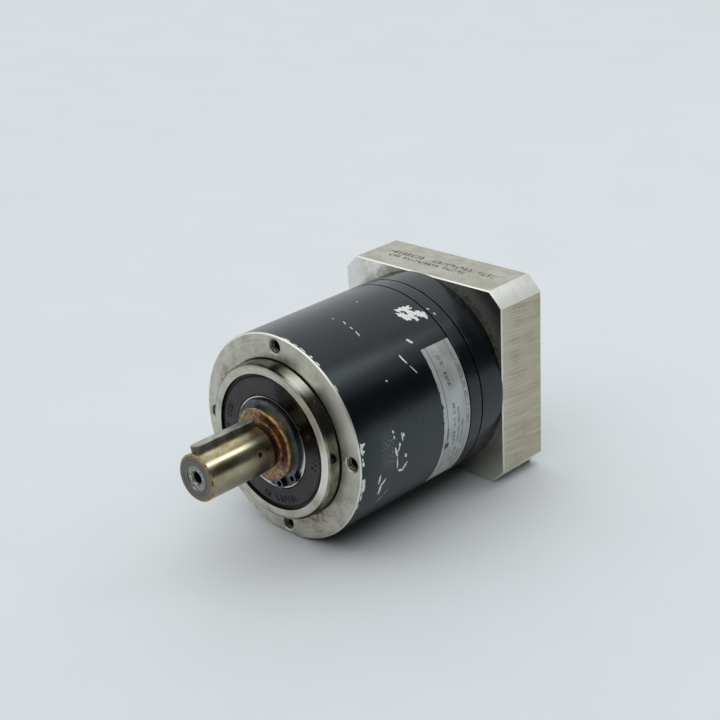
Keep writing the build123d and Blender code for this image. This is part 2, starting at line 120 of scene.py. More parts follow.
class Graph:
    """The node tree of one material, with the gearbox's own coordinates in millimetres and degrees."""

    def __init__(self, name):
        self.material = bpy.data.materials.new(name)
        self.material.use_nodes = True
        self.tree = self.material.node_tree
        self.shader = self.tree.nodes["Principled BSDF"]
        coordinates = self.add("ShaderNodeTexCoord")
        self.place = self.scaled(coordinates.outputs["Object"], (1 / MM,) * 3)
        self.x, self.y, self.z = self.parts(self.place)
        _, self.facing_y, self.facing_z = self.parts(coordinates.outputs["Normal"])
        self.radius = (self.x * self.x + self.z * self.z).math("SQRT")
        self.angle = self.math("ARCTAN2", self.z, self.x) * math.degrees(1)
        self.turned = self.joined(self.radius, self.y, self.angle * 0.004)

    def add(self, kind, **settings):
        node = self.tree.nodes.new(kind)
        for name, value in settings.items():
            setattr(node, name, value)
        return node

    def feed(self, target, value):
        """Joins a value to a socket, or sets the socket if the value is constant."""
        if isinstance(value, Value):
            value = value.socket
        if isinstance(value, bpy.types.NodeSocket):
            self.tree.links.new(value, target)
        else:
            target.default_value = value

    def math(self, operation, *values):
        node = self.add("ShaderNodeMath", operation=operation)
        for target, value in zip(node.inputs, values):
            self.feed(target, value)
        return Value(self, node.outputs[0])

    def parts(self, vector):
        node = self.add("ShaderNodeSeparateXYZ")
        self.feed(node.inputs[0], vector)
        return [Value(self, output) for output in node.outputs]

    def joined(self, *values):
        node = self.add("ShaderNodeCombineXYZ")
        for target, value in zip(node.inputs, values):
            self.feed(target, value)
        return node.outputs[0]

    def scaled(self, vector, factors):
        node = self.add("ShaderNodeVectorMath", operation="MULTIPLY")
        self.feed(node.inputs[0], vector)
        node.inputs[1].default_value = factors
        return node.outputs[0]

    def leaning(self, vector, turn):
        """The vector turned by Euler angles in degrees."""
        node = self.add("ShaderNodeMapping", vector_type="POINT")
        self.feed(node.inputs["Vector"], vector)
        node.inputs["Rotation"].default_value = [math.radians(a) for a in turn]
        return node.outputs[0]

    def noise(self, size, where=None, stretch=(1, 1, 1), detail=4.0, rough=0.55):
        """Cloudy noise, about 0.2 to 0.8, in lumps of about size millimetres, longer where stretched."""
        node = self.add("ShaderNodeTexNoise")
        squeeze = [1 / (size * s) for s in stretch]
        self.feed(node.inputs["Vector"], self.scaled(self.place if where is None else where, squeeze))
        node.inputs["Scale"].default_value = 1.0
        node.inputs["Detail"].default_value = detail
        node.inputs["Roughness"].default_value = rough
        return Value(self, node.outputs[0])

    def dice(self, across, along):
        """A random number from 0 to 1 for each cell of a grid."""
        node = self.add("ShaderNodeTexWhiteNoise", noise_dimensions="2D")
        self.feed(node.inputs["Vector"], self.joined(across, along, 0.0))
        return Value(self, node.outputs["Value"])

    def near_angle(self, centre, half, blur):
        """1 within half degrees of an angle round the axis."""
        away = (self.angle - centre).math("WRAP", 180.0, -180.0).math("ABSOLUTE")
        return away.fall(half - blur, half + blur)

    def marks(self, along, across, height, lit=0.5):
        """A row of generic dot marks: random dots in cells of three by five, with gaps. Not lettering."""
        dot = height / 5
        column, row = (along / dot).math("FLOOR"), (across / dot + 2.5).math("FLOOR")
        in_cell = (column / 4).math("FRACT").math("LESS_THAN", 0.7)
        in_row = row.math("GREATER_THAN", -0.5) * row.math("LESS_THAN", 4.5)
        word = self.dice((column / 4).math("FLOOR"), 7.0).math("GREATER_THAN", 0.16)
        return self.dice(column, row).math("LESS_THAN", lit) * in_cell * in_row * word

    def number_mix(self, share, low, high):
        if not isinstance(low, Value) and not isinstance(high, Value) and low == high:
            return low
        node = self.add("ShaderNodeMix", data_type="FLOAT")
        self.feed(node.inputs[0], share)
        self.feed(node.inputs[2], low)
        self.feed(node.inputs[3], high)
        return Value(self, node.outputs[0])

    def colour_mix(self, share, low, high):
        node = self.add("ShaderNodeMix", data_type="RGBA")
        self.feed(node.inputs[0], share)
        self.feed(node.inputs[6], low)
        self.feed(node.inputs[7], high)
        return node.outputs[2]

    def layered(self, under, over, share):
        """The finish of one layer over another, where share is how much of the upper one shows."""
        return Finish(
            self.colour_mix(share, under.colour, over.colour),
            self.number_mix(share, under.roughness, over.roughness),
            self.number_mix(share, under.metallic, over.metallic),
            self.number_mix(share, under.height, over.height))

    def made(self, finish, **constants):
        """The material, with the finish on its shader. Heights are millimetres."""
        self.feed(self.shader.inputs["Base Color"], finish.colour)
        self.feed(self.shader.inputs["Roughness"], finish.roughness)
        self.feed(self.shader.inputs["Metallic"], finish.metallic)
        for name, value in constants.items():
            self.shader.inputs[name.replace("_", " ")].default_value = value
        if isinstance(finish.height, Value):
            bump = self.add("ShaderNodeBump")
            bump.inputs["Distance"].default_value = MM
            self.feed(bump.inputs["Height"], finish.height)
            self.feed(self.shader.inputs["Normal"], bump.outputs[0])
        return self.material


class Finish:
    """What a surface is like: colour, roughness, metallic and height in millimetres."""

    def __init__(self, colour, roughness, metallic=0.0, height=0.0):
        self.colour = colour
        self.roughness = roughness
        self.metallic = metallic
        self.height = height


def shown(red, green, blue):
    """A colour by its screen values, 0 to 255, as the linear values that shaders take."""
    def linear(value):
        value /= 255
        return value / 12.92 if value <= 0.04045 else ((value + 0.055) / 1.055) ** 2.4
    return (linear(red), linear(green), linear(blue), 1.0)


# --- finishes of metals, rubber and plastic -----------------------------------------------------

def bare_metal(g, light, dark, roughness=0.36, lines=0.5):
    """Turned or milled metal: fine tool marks round the axis and slow clouds of tarnish."""
    fine = g.noise(0.16, g.turned, detail=2.0)
    coarse = g.noise(0.9, g.turned, detail=2.0)
    clouds = g.noise(7.0, detail=5.0, rough=0.6)
    shade = fine * (0.45 * lines) + coarse * (0.45 * lines) + clouds * 0.9
    return Finish(
        g.colour_mix(shade.rise(0.35 + 0.1 * lines, 0.65 + 0.3 * lines), dark, light),
        roughness + (clouds - 0.5) * 0.25 + (fine - 0.5) * 0.15,
        1.0,
        fine * (0.006 * lines) + coarse * (0.008 * lines))


def grime(g, size, amount, colour=(0.018, 0.013, 0.008, 1.0)):
    """A brown or black film in blotches. Returns the finish of the film and where it lies."""
    blotches = g.noise(size, detail=6.0, rough=0.65)
    film = Finish(colour, 0.5, 0.0, 0.0)
    return film, blotches.rise(0.62 - 0.3 * amount, 0.8 - 0.3 * amount)


PAINT_SHEEN = (0.84, 0.95, 1.0, 1.0)
JOINT_SHADOW = Finish(shown(3, 3, 4), 0.5, 1.0)


def black_paint(g):
    """Satin black paint with an orange-peel skin, a little dust and rubbed patches."""
    peel = g.noise(0.45, detail=3.0)
    dust = g.noise(0.35, detail=5.0, rough=0.7)
    clouds = g.noise(14.0, detail=5.0, rough=0.6)
    colour = g.colour_mix(clouds.rise(0.3, 0.7), shown(5, 11, 15), shown(11, 18, 23))
    colour = g.colour_mix(dust.rise(0.62, 0.74) * 0.16, colour, shown(110, 118, 122))
    return Finish(colour, 0.24 + (clouds - 0.5) * 0.14, 0.0, peel * 0.011)


def worn_paint(g):
    """The body's paint, with the scuffed patch low on the label side."""
    paint = black_paint(g)
    scuff_place = g.y.band(13.0, 20.5, 2.0) * g.near_angle(1.0, 10.0, 5.0)
    scuff = scuff_place * g.noise(0.8, detail=5.0, rough=0.75).rise(0.46, 0.62)
    paint = g.layered(paint, Finish(shown(140, 144, 142), 0.6), scuff * 0.7)
    tired = g.y.rise(2.0, 12.0) * g.near_angle(-8.0, 26.0, 8.0) * 0.16
    return g.layered(paint, Finish(shown(104, 110, 112), 0.55), tired)


def main_housing():
    g = Graph("main_housing_finish")
    metal = bare_metal(g, shown(208, 205, 193), shown(160, 156, 142), roughness=0.42)
    rub = g.noise(2.2, detail=6.0, rough=0.7).rise(0.58, 0.75)
    metal = g.layered(metal, Finish(shown(136, 128, 108), 0.5, 0.7), rub * 0.4)
    # painted highlights: a bright patch on the flange face and one on the pilot's front
    flange_painted_highlight = g.near_angle(30.0, 18.0, 10.0) * g.radius.rise(34.5, 37.0)
    pilot_front_painted_highlight = g.near_angle(-8.0, 20.0, 10.0) * g.radius.fall(34.0, 34.5)
    metal = g.layered(metal, Finish(shown(244, 242, 232), 0.42, 1.0), (flange_painted_highlight + pilot_front_painted_highlight) * 0.75)

    # the pilot: polished, with a painted highlight in one place, and a dark film of oil and painted shade
    # on the right and below
    pilot = bare_metal(g, shown(166, 163, 146), shown(112, 108, 92), roughness=0.18, lines=0.25)
    # painted highlight: a bright white patch on the pilot at 62 degrees
    pilot = g.layered(pilot, Finish(shown(254, 254, 246), 0.28, 0.4, 0.0), g.near_angle(62.0, 8.0, 7.0))
    # painted shade: a dark film in blotches on the pilot's right and lower sides
    painted_shade_blotches = g.noise(5.0, stretch=(1, 0.6, 1), detail=5.0).rise(0.24, 0.44)
    sides = g.near_angle(34.0, 17.0, 6.0) + g.near_angle(-52.0, 17.0, 8.0) + g.near_angle(83.0, 5.0, 4.0)
    pilot = g.layered(pilot, Finish(shown(24, 19, 12), 0.3, 0.8), painted_shade_blotches * sides * 0.95)
    on_pilot = g.radius.band(33.0, 34.2, 0.05) * g.y.fall(-0.9, -0.8)
    metal = g.layered(metal, pilot, on_pilot)

    # rust and dirt that crept out of the groove at the pilot's base
    stains = g.near_angle(152.0, 10.0, 6.0) + g.near_angle(-62.0, 16.0, 8.0)
    creep = g.radius.fall(34.0, 36.5) * 0.3 + g.radius.fall(36.5, 41.5) * stains
    blotch = g.noise(1.6, detail=6.0, rough=0.7).rise(0.42, 0.62)
    face = g.y.rise(-0.5, -0.2)
    metal = g.layered(metal, Finish(shown(130, 92, 46), 0.6, 0.2), creep * blotch * face * 0.9)
    # painted shade: black in the groove at the pilot's foot and in the gap round the seal
    pilot_foot_painted_shade = g.radius.fall(34.1, 34.6) * g.y.rise(-0.95, -0.75) * g.radius.rise(33.0, 33.4)
    seal_gap_painted_shade = g.radius.fall(29.75, 29.9) * g.y.band(-6.3, -4.9, 0.05)
    metal = g.layered(metal, Finish(shown(20, 17, 12), 0.5), pilot_foot_painted_shade.math("MAXIMUM", seal_gap_painted_shade))

    # the flange's outer edge is rubbed bright, and its holes have painted shade inside
    edge = g.radius.rise(44.3, 44.5) * g.y.fall(0.45, 0.6)
    metal = g.layered(metal, Finish(shown(236, 235, 226), 0.3, 0.9), edge * 0.8)
    tapped_hole_painted_shade = g.radius.band(36.3, 43.7, 0.1) * g.y.rise(0.3, 1.2) * g.y.fall(14.0, 15.0)
    metal = g.layered(metal, Finish(shown(10, 10, 9), 0.8), tapped_hole_painted_shade)

    painted = g.radius.rise(BODY_R - 0.5, BODY_R - 0.4) * g.y.rise(0.5, 0.62)
    return g.made(g.layered(metal, jointed(g, worn_paint(g)), painted), Specular_Tint=PAINT_SHEEN)


def jointed(g, paint):
    """Paint with the body's joint lines across it: dark in the gap, and pale along the rear edge, rubbed
    paint and partly a painted highlight.
    """
    gaps = [g.y.band(joint - 0.42, joint + 0.42, 0.08) for joint in JOINTS]
    edge_highlight_bands = [g.y.band(joint + 0.5, joint + 0.7, 0.1) for joint in JOINTS]
    # pale edge lines: rubbed paint, and a painted highlight at the angles where light catches the edge
    rubbed = (edge_highlight_bands[0] + edge_highlight_bands[1]) * g.near_angle(60.0, 34.0, 12.0) * g.noise(5.0).rise(0.4, 0.6)
    paint = g.layered(paint, Finish(shown(128, 134, 138), 0.4, 0.4), rubbed * 0.5)
    return g.layered(paint, JOINT_SHADOW, gaps[0] + gaps[1])


def painted_casing(name):
    """The painted rings behind the main housing, bare inside."""
    g = Graph(name)
    metal = bare_metal(g, shown(190, 191, 186), shown(140, 140, 134))
    paint = black_paint(g)
    oil = g.y.rise(PLATE_FRONT - 5.0, PLATE_FRONT) * g.noise(3.0, detail=5.0).rise(0.42, 0.6)
    paint = g.layered(paint, Finish(shown(24, 22, 18), 0.3), oil * 0.7)
    finish = g.layered(metal, jointed(g, paint), g.radius.rise(BODY_R - 0.6, BODY_R - 0.55))
    return g.made(finish, Specular_Tint=PAINT_SHEEN)


def adapter_plate():
    """Raw aluminium: sawn sides, a turned corner, milled faces, deburred edges and marks on top."""
    g = Graph("adapter_plate_finish")
    clouds = g.noise(11.0, detail=6.0, rough=0.62)
    spots = g.noise(2.4, detail=6.0, rough=0.7)
    tint = g.colour_mix(clouds.rise(0.38, 0.64), shown(170, 167, 152), shown(192, 191, 181))

    # the sides are sawn: long fine marks that lean off the axis, with painted light toward the front edge
    leaned = g.leaning(g.place, (6, 0, 0))
    sawn = g.noise(0.6, leaned, stretch=(1, 60, 1), detail=4.0, rough=0.65)
    bands = g.noise(4.0, leaned, stretch=(1, 14, 1), detail=3.0)
    grain = (sawn * 0.7 + bands * 0.3).rise(0.36, 0.64)
    side_colour = g.colour_mix(clouds.rise(0.36, 0.64), shown(164, 154, 126), shown(180, 173, 150))
    side_colour = g.colour_mix(grain, side_colour, shown(204, 199, 181))
    side_colour = g.colour_mix(spots.rise(0.6, 0.72) * 0.3, side_colour, shown(138, 120, 88))
    # painted light: the sides are coloured lighter toward the front edge
    front_edge_painted_light = g.y.fall(PLATE_FRONT, PLATE_FRONT + 10.0)
    side_colour = g.colour_mix(front_edge_painted_light * 0.5, side_colour, shown(208, 205, 192))
    sides = Finish(side_colour, 0.42 + (sawn - 0.5) * 0.2, 0.75, sawn * 0.03 + bands * 0.015)

    # the top is milled finer, with brown spots and two rows of dot marks
    milled = g.noise(0.35, stretch=(30, 1, 1), detail=3.0)
    top_colour = g.colour_mix(milled.rise(0.35, 0.65) * 0.5, tint, shown(186, 182, 168))
    stain = g.noise(3.4, detail=6.0, rough=0.7).rise(0.54, 0.7) * g.x.rise(-20.0, 10.0)
    top_colour = g.colour_mix(stain * 0.5, top_colour, shown(128, 98, 56))
    top = Finish(top_colour, 0.4, 0.85, milled * 0.012)
    first_row = g.marks(g.x + 100.0, g.y - 102.8, 3.2) * g.x.band(-30.0, 29.5, 0.1)
    second_row = g.marks(g.x + 40.0, g.y - 98.6, 2.6) * g.x.band(-28.0, 16.0, 0.1)
    top = g.layered(top, Finish(shown(62, 50, 34), 0.6, 0.3, -0.15), first_row.math("MAXIMUM", second_row))
    finish = g.layered(sides, top, g.facing_z.rise(0.97, 0.995))

    # the corners are turned: bright, with fine lines along the axis of turning
    corner = bare_metal(g, shown(244, 244, 238), shown(216, 216, 209), roughness=0.26, lines=0.9)
    finish = g.layered(finish, corner, g.radius.rise(59.0, 59.1))

    # the front and rear faces: milled bright, stained on the left, smooth with painted shade on the right
    # of the front, a painted dark corner and painted light low down, with oil by the gearbox body
    crossed = g.noise(0.4, g.leaning(g.place, (0, 35, 0)), stretch=(24, 1, 1), detail=4.0)
    face_colour = g.colour_mix(crossed.rise(0.3, 0.7), shown(226, 226, 220), shown(244, 244, 240))
    stained = g.near_angle(112.0, 20.0, 8.0) * g.radius.fall(52.0, 60.0) * clouds.rise(0.4, 0.6)
    face_colour = g.colour_mix(stained * 0.5, face_colour, shown(168, 146, 112))
    on_front = g.y.fall(PLATE_FRONT + 1.0, PLATE_FRONT + 2.0)
    # painted shade: the smooth right part of the front face is coloured darker, standing in for the
    # reflected body
    smooth = g.near_angle(0.0, 80.0, 30.0) * on_front
    face_colour = g.colour_mix(smooth, face_colour, shown(168, 168, 158))
    corner_shade = g.near_angle(42.0, 18.0, 10.0) * g.radius.rise(49.0, 57.0)
    face_colour = g.colour_mix(corner_shade * smooth * 0.85, face_colour, shown(70, 74, 75))
    # painted light: the lower side of the front face is coloured lighter
    lower_painted_light = g.near_angle(-40.0, 24.0, 10.0)
    face_colour = g.colour_mix(lower_painted_light * smooth * 0.8, face_colour, shown(226, 226, 216))
    face = Finish(face_colour, 0.36, 0.9, crossed * (1.0 - smooth) * 0.006)
    near_body = g.radius.band(BODY_R - 0.5, BODY_R + 3.5, 1.5) * on_front
    oil = g.noise(2.6, detail=5.0, rough=0.65).rise(0.3, 0.55) * near_body
    face = g.layered(face, Finish(shown(112, 94, 62), 0.4, 0.5), oil * 0.5)
    face = g.layered(face, Finish(shown(36, 33, 26), 0.35, 0.4), oil * g.near_angle(36.0, 34.0, 14.0) * 0.6)
    finish = g.layered(finish, face, g.facing_y.math("ABSOLUTE").rise(0.9, 0.97))

    # chamfers round both faces are filed bright
    edge = g.facing_y.math("ABSOLUTE").band(0.45, 0.9, 0.05) * g.radius.rise(44.9, 45.2)
    filed = Finish(g.colour_mix(spots, shown(206, 204, 194), shown(244, 244, 238)), 0.3, 0.9, 0.0)
    finish = g.layered(finish, filed, edge)

    # inside, the bores are turned
    bores = bare_metal(g, shown(196, 196, 188), shown(146, 146, 138), roughness=0.32)
    finish = g.layered(finish, bores, g.radius.fall(40.1, 40.2) * g.y.rise(PLATE_FRONT, PLATE_FRONT + 0.1))
    return g.made(finish)


def output_shaft():
    """Ground steel under olive-gold tarnish, with glossy rust at the shoulder and a scraped grey end."""
    g = Graph("output_shaft_finish")
    clouds = g.noise(6.0, stretch=(1, 2, 1), detail=5.0)
    flecks = g.noise(0.9, detail=5.0, rough=0.7)
    fine = g.noise(0.14, g.turned, detail=2.0)
    olive = g.colour_mix(clouds.rise(0.36, 0.64), shown(158, 148, 112), shown(204, 198, 170))
    gold = g.near_angle(74.0, 26.0, 12.0) * g.noise(3.0, stretch=(1, 1.6, 1), detail=4.0).rise(0.46, 0.62)
    olive = g.colour_mix(gold * 0.7, olive, shown(180, 146, 82))
    # painted shade: the lower side of the shaft is coloured greyer and darker
    olive = g.colour_mix(g.near_angle(-30.0, 50.0, 20.0) * 0.6, olive, shown(160, 152, 130))
    olive = g.colour_mix(flecks.rise(0.54, 0.7) * 0.4, olive, shown(122, 96, 56))
    # painted highlight: a bright streak along the shaft at 49 degrees
    olive = g.colour_mix(g.near_angle(49.0, 6.0, 3.0) * 0.6, olive, shown(236, 232, 212))
    steel = Finish(olive, 0.25 + (clouds - 0.5) * 0.2, 1.0, fine * 0.004 + flecks * 0.003)

    # the end: grey, turned, with a scraped recess round the centre hole and a brown chipped rim
    rings = g.noise(0.3, g.turned, detail=2.0)
    end_colour = g.colour_mix(rings.rise(0.36, 0.64), shown(88, 87, 84), shown(120, 118, 112))
    scraped = g.radius.fall(5.2, 5.6) * flecks.rise(0.42, 0.54)
    end_colour = g.colour_mix(scraped, end_colour, shown(176, 176, 170))
    end_colour = g.colour_mix(g.radius.rise(7.6, 9.2) * 0.7, end_colour, shown(138, 124, 98))
    end = Finish(end_colour, 0.45, 0.8, rings * 0.01 + flecks * 0.04)
    recess = g.radius.fall(5.3, 5.4) * g.y.fall(SHAFT_END + 2.0, SHAFT_END + 2.1)
    finish = g.layered(steel, end, g.y.fall(SHAFT_END + 0.02, SHAFT_END + 0.1).math("MAXIMUM", recess))
    # painted shade deep in the centre hole, and the recess wall darker on its left side
    hollow = g.radius.fall(2.7, 3.0) * g.y.rise(SHAFT_END + 0.9, SHAFT_END + 1.6)
    wall = g.radius.band(5.02, 5.3, 0.05) * g.y.band(SHAFT_END + 0.06, SHAFT_END + 0.4, 0.03)
    dark = hollow.math("MAXIMUM", wall * g.near_angle(165.0, 70.0, 20.0))
    finish = g.layered(finish, Finish(shown(26, 24, 21), 0.5, 0.2), dark)
    rim = g.y.band(SHAFT_END + 0.06, SHAFT_END + 0.76, 0.04) * g.radius.rise(9.0, 9.3)
    chipped = g.colour_mix(flecks.rise(0.46, 0.6), shown(168, 148, 110), shown(92, 72, 44))
    finish = g.layered(finish, Finish(chipped, 0.4, 0.8, flecks * 0.1), rim)

    # rust specks round the dimple, and a golden stain that creeps out from the relief
    around, along = (g.angle - 17.0) * math.radians(10.0), g.y + 20.0
    off_dimple = (around * around + along * along).math("SQRT")
    finish = g.layered(finish, Finish(shown(120, 74, 34), 0.5, 0.7), off_dimple.fall(1.2, 2.6) * 0.6)
    finish = g.layered(finish, Finish(shown(44, 22, 10), 0.6, 0.7), off_dimple.fall(0.9, 1.3))
    creep = g.y.rise(-17.0, -13.4) * clouds.rise(0.3, 0.6)
    finish = g.layered(finish, Finish(shown(184, 144, 76), 0.34, 1.0), creep * 0.7)

    # the shoulder by the seal: dark glossy rust on its face, tan on the ridge, the rim and below
    rusty = g.noise(2.0, detail=6.0, rough=0.66)
    colour = g.colour_mix(rusty.rise(0.4, 0.64), shown(40, 18, 7), shown(124, 66, 24))
    pale = g.near_angle(125.0, 34.0, 14.0) * 0.8 + g.near_angle(-72.0, 40.0, 14.0)
    pale = pale.math("MAXIMUM", g.radius.band(10.2, 11.0, 0.2).math("MAXIMUM", g.radius.rise(14.0, 14.5)))
    colour = g.colour_mix(pale * (rusty.rise(0.36, 0.62) * 0.65 + 0.2), colour, shown(190, 152, 108))
    rust = Finish(colour, 0.2 + rusty * 0.3, 0.3, rusty * 0.25)
    finish = g.layered(finish, rust, g.y.rise(-10.8, -10.6) * g.y.fall(-8.8, -8.6))
    groove = g.y.band(-13.1, -10.65, 0.1)
    finish = g.layered(finish, Finish(shown(34, 18, 9), 0.3, 0.1), groove)
    return g.made(finish)


def shaft_key():
    g = Graph("shaft_key_finish")
    clouds = g.noise(4.0, detail=5.0)
    drawn = g.noise(0.3, stretch=(1, 30, 1), detail=3.0)
    top = g.colour_mix(clouds.rise(0.35, 0.65), shown(142, 144, 130), shown(176, 177, 164))
    flanks = g.colour_mix(clouds.rise(0.35, 0.65), shown(90, 88, 78), shown(122, 120, 108))
    colour = g.colour_mix(g.facing_z.rise(0.6, 0.9), flanks, top)
    worn = Finish(colour, 0.38 + (drawn - 0.5) * 0.2, 0.85, drawn * 0.01)
    rust = g.y.rise(-18.0, -12.5) * g.noise(1.2, detail=5.0).rise(0.42, 0.6)
    return g.made(g.layered(worn, Finish(shown(112, 80, 50), 0.55, 0.3), rust * 0.7))


def seal_rubber():
    """The front bearing's seal: dark rubber, moulded rings, generic dot marks and an oil smear that is also
    painted shade.
    """
    g = Graph("seal_rubber_finish")
    clouds = g.noise(6.0, detail=5.0)
    colour = g.colour_mix(clouds.rise(0.3, 0.7), shown(48, 45, 47), shown(60, 57, 59))
    skin = g.noise(0.3, detail=2.0)
    rings = g.radius.band(21.4, 21.9, 0.12) + g.radius.band(27.3, 27.6, 0.1)
    row = g.angle * (25.4 * math.radians(1))
    dots = g.marks(row + 200.0, g.radius - 24.9, 3.0, lit=0.62)
    spans = g.near_angle(66.0, 12.0, 0.5) + g.near_angle(168.0, 16.0, 0.5)
    spans = spans + g.near_angle(-82.0, 22.0, 0.5) + g.near_angle(-6.0, 6.0, 0.5)
    dots = dots * spans
    colour = g.colour_mix(dots, colour, shown(14, 13, 14))
    rubber = Finish(colour, 0.34 + (clouds - 0.5) * 0.2 + dots * 0.5, 0.0,
                    skin * 0.006 - rings * 0.12 + dots * 0.08)
    # an oil smear, darkened as painted shade
    oil_smear_and_shade = g.near_angle(40.0, 38.0, 9.0) * g.noise(4.0, detail=5.0).rise(0.26, 0.42)
    film = g.colour_mix(clouds.rise(0.5, 0.68), shown(8, 5, 3), shown(40, 22, 12))
    return g.made(g.layered(rubber, Finish(film, 0.2, 0.6), oil_smear_and_shade), Specular_IOR_Level=0.3)


def support_washer():
    """A dark oily washer with a thin bright rim and bright patches."""
    g = Graph("support_washer_finish")
    oiled = bare_metal(g, shown(88, 88, 88), shown(50, 50, 51), roughness=0.3, lines=0.3)
    bright_patches = g.near_angle(0.0, 26.0, 6.0) + g.near_angle(-108.0, 12.0, 4.0)
    bright_patches = bright_patches.math("MAXIMUM", g.radius.rise(19.35, 19.5))
    return g.made(g.layered(oiled, Finish(shown(214, 214, 206), 0.24, 1.0), bright_patches * 0.9))


def front_bearing_ring():
    """Ground bearing steel, with painted shade, black, on the narrow face beside the seal."""
    g = Graph("front_bearing_ring_finish")
    steel = bare_metal(g, shown(214, 214, 208), shown(168, 168, 160), roughness=0.16, lines=0.2)
    return g.made(g.layered(steel, Finish(shown(16, 14, 11), 0.5), g.y.fall(-4.95, -4.85)))


def plain_rubber():
    g = Graph("plain_rubber_finish")
    bloom = g.noise(3.0, detail=5.0)
    colour = g.colour_mix(bloom.rise(0.3, 0.7), shown(24, 24, 25), shown(40, 40, 42))
    return g.made(Finish(colour, 0.5 + (bloom - 0.5) * 0.3, 0.0, g.noise(0.25, detail=2.0) * 0.01))


def phosphated_spring():
    """Blue-grey phosphate on spring steel, worn bright in places, with painted shade on the edges."""
    g = Graph("phosphated_spring_finish")
    grain = g.noise(0.5, detail=5.0, rough=0.7)
    clouds = g.noise(5.0, detail=4.0)
    colour = g.colour_mix(clouds.rise(0.35, 0.65), shown(72, 77, 83), shown(104, 110, 116))
    colour = g.colour_mix(grain.rise(0.64, 0.76) * 0.4, colour, shown(140, 142, 142))
    # painted shade: darker where the surface faces sideways, on the edges
    colour = g.colour_mix(g.facing_y.math("ABSOLUTE").fall(0.6, 0.9) * 0.8, colour, shown(16, 16, 17))
    return g.made(Finish(colour, 0.36 + (grain - 0.5) * 0.3, 0.7, grain * 0.01))


def black_oxide():
    """Socket head cap screws: black oxide, oily, greyer where the key has worn them."""
    g = Graph("black_oxide_finish")
    grain = g.noise(0.6, detail=5.0, rough=0.7)
    colour = g.colour_mix(grain.rise(0.4, 0.7), shown(34, 34, 36), shown(66, 66, 68))
    knurl = (g.noise(0.5, stretch=(1, 8, 1), detail=2.0)) * 0.03
    return g.made(Finish(colour, 0.34 + (grain - 0.5) * 0.3, 0.7, knurl))


def turned_metal(name, light, dark, roughness, lines=0.5):
    g = Graph(name)
    return g.made(bare_metal(g, light, dark, roughness, lines))


def gear_steel():
    """Hobbed and hardened teeth: marks along the tooth, a burnished flank and an oil film."""
    g = Graph("gear_steel_finish")
    hobbed = g.noise(0.22, stretch=(1, 20, 1), detail=3.0)
    clouds = g.noise(3.0, detail=5.0)
    colour = g.colour_mix(clouds.rise(0.35, 0.65), shown(118, 116, 110), shown(176, 174, 166))
    colour = g.colour_mix(hobbed.rise(0.55, 0.7) * 0.4, colour, shown(206, 204, 196))
    oiled = Finish(colour, 0.26 + (clouds - 0.5) * 0.2, 1.0, hobbed * 0.006)
    film, where = grime(g, 5.0, 0.5, shown(96, 74, 34))
    return g.made(g.layered(oiled, film, where * 0.3))


def cage_plastic():
    """Glass-filled nylon: mottled dark amber with faint fibres."""
    g = Graph("cage_plastic_finish")
    fibres = g.noise(0.35, stretch=(1, 5, 1), detail=5.0, rough=0.7)
    colour = g.colour_mix(fibres.rise(0.35, 0.65), shown(96, 66, 34), shown(134, 98, 58))
    return g.made(Finish(colour, 0.48 + (fibres - 0.5) * 0.2, 0.0, fibres * 0.02))


def plug_plastic():
    g = Graph("plug_plastic_finish")
    grain = g.noise(0.5, detail=4.0)
    colour = g.colour_mix(g.noise(4.0).rise(0.3, 0.7), shown(22, 22, 23), shown(36, 36, 38))
    return g.made(Finish(colour, 0.5 + (grain - 0.5) * 0.3, 0.0, grain * 0.015))


def label_foil():
    """Silver foil with a printed frame line, a plain block and rows of dot marks, and a worn front edge."""
    g = Graph("label_foil_finish")
    across = g.angle * (BODY_R * math.radians(1))
    clouds = g.noise(8.0, detail=5.0)
    grain = g.noise(0.4, detail=4.0, rough=0.7)
    silver = g.colour_mix(clouds.rise(0.35, 0.65), shown(176, 181, 178), shown(200, 204, 200))
    silver = g.colour_mix(grain.rise(0.62, 0.74) * 0.25, silver, shown(134, 138, 137))
    foil = Finish(silver, 0.42 + (grain - 0.5) * 0.2, 0.35, grain * 0.006)
    front_line = g.y.band(LABEL_FRONT + 2.3, LABEL_FRONT + 2.65, 0.08)
    rear_line = g.y.band(LABEL_REAR - 2.7, LABEL_REAR - 2.45, 0.08)
    rows = None
    printed = ((56.2, 1.9, 18.0, 36.0), (56.2, 1.6, -16.0, 10.0), (58.8, 1.4, -30.0, 6.0),
               (61.2, 1.4, -30.0, -2.0), (64.8, 1.4, -6.0, 30.0))
    for y, height, low, high in printed:
        row = g.marks(across + 90.0 + y, g.y - y, height) * g.angle.band(low, high, 0.1)
        rows = row if rows is None else rows.math("MAXIMUM", row)
    block = g.y.band(50.9, 53.4, 0.1) * g.angle.band(-16.0, -12.5, 0.15)
    bar = g.y.band(51.6, 52.7, 0.1) * g.angle.band(-11.0, -3.5, 0.15)
    bar = bar * (across / 1.3).math("FRACT").math("LESS_THAN", 0.62)
    print_on = front_line.math("MAXIMUM", rear_line).math("MAXIMUM", rows * 0.95)
    print_on = print_on.math("MAXIMUM", block.math("MAXIMUM", bar))
    ink = Finish(shown(34, 36, 38), 0.5)
    foil = g.layered(foil, ink, print_on * 0.9)
    rubbed = g.y.fall(LABEL_FRONT + 0.6, LABEL_FRONT + 1.4) * grain.rise(0.45, 0.6)
    return g.made(g.layered(foil, Finish(shown(196, 198, 192), 0.4, 0.4), rubbed * 0.6))


def crust():
    """Crumbly tan and brown rust."""
    g = Graph("crust_finish")
    rusty = g.noise(1.8, detail=6.0, rough=0.66)
    colour = g.colour_mix(rusty.rise(0.34, 0.62), shown(96, 60, 28), shown(184, 152, 110))
    return g.made(Finish(colour, 0.4, 0.2, rusty * 0.25))


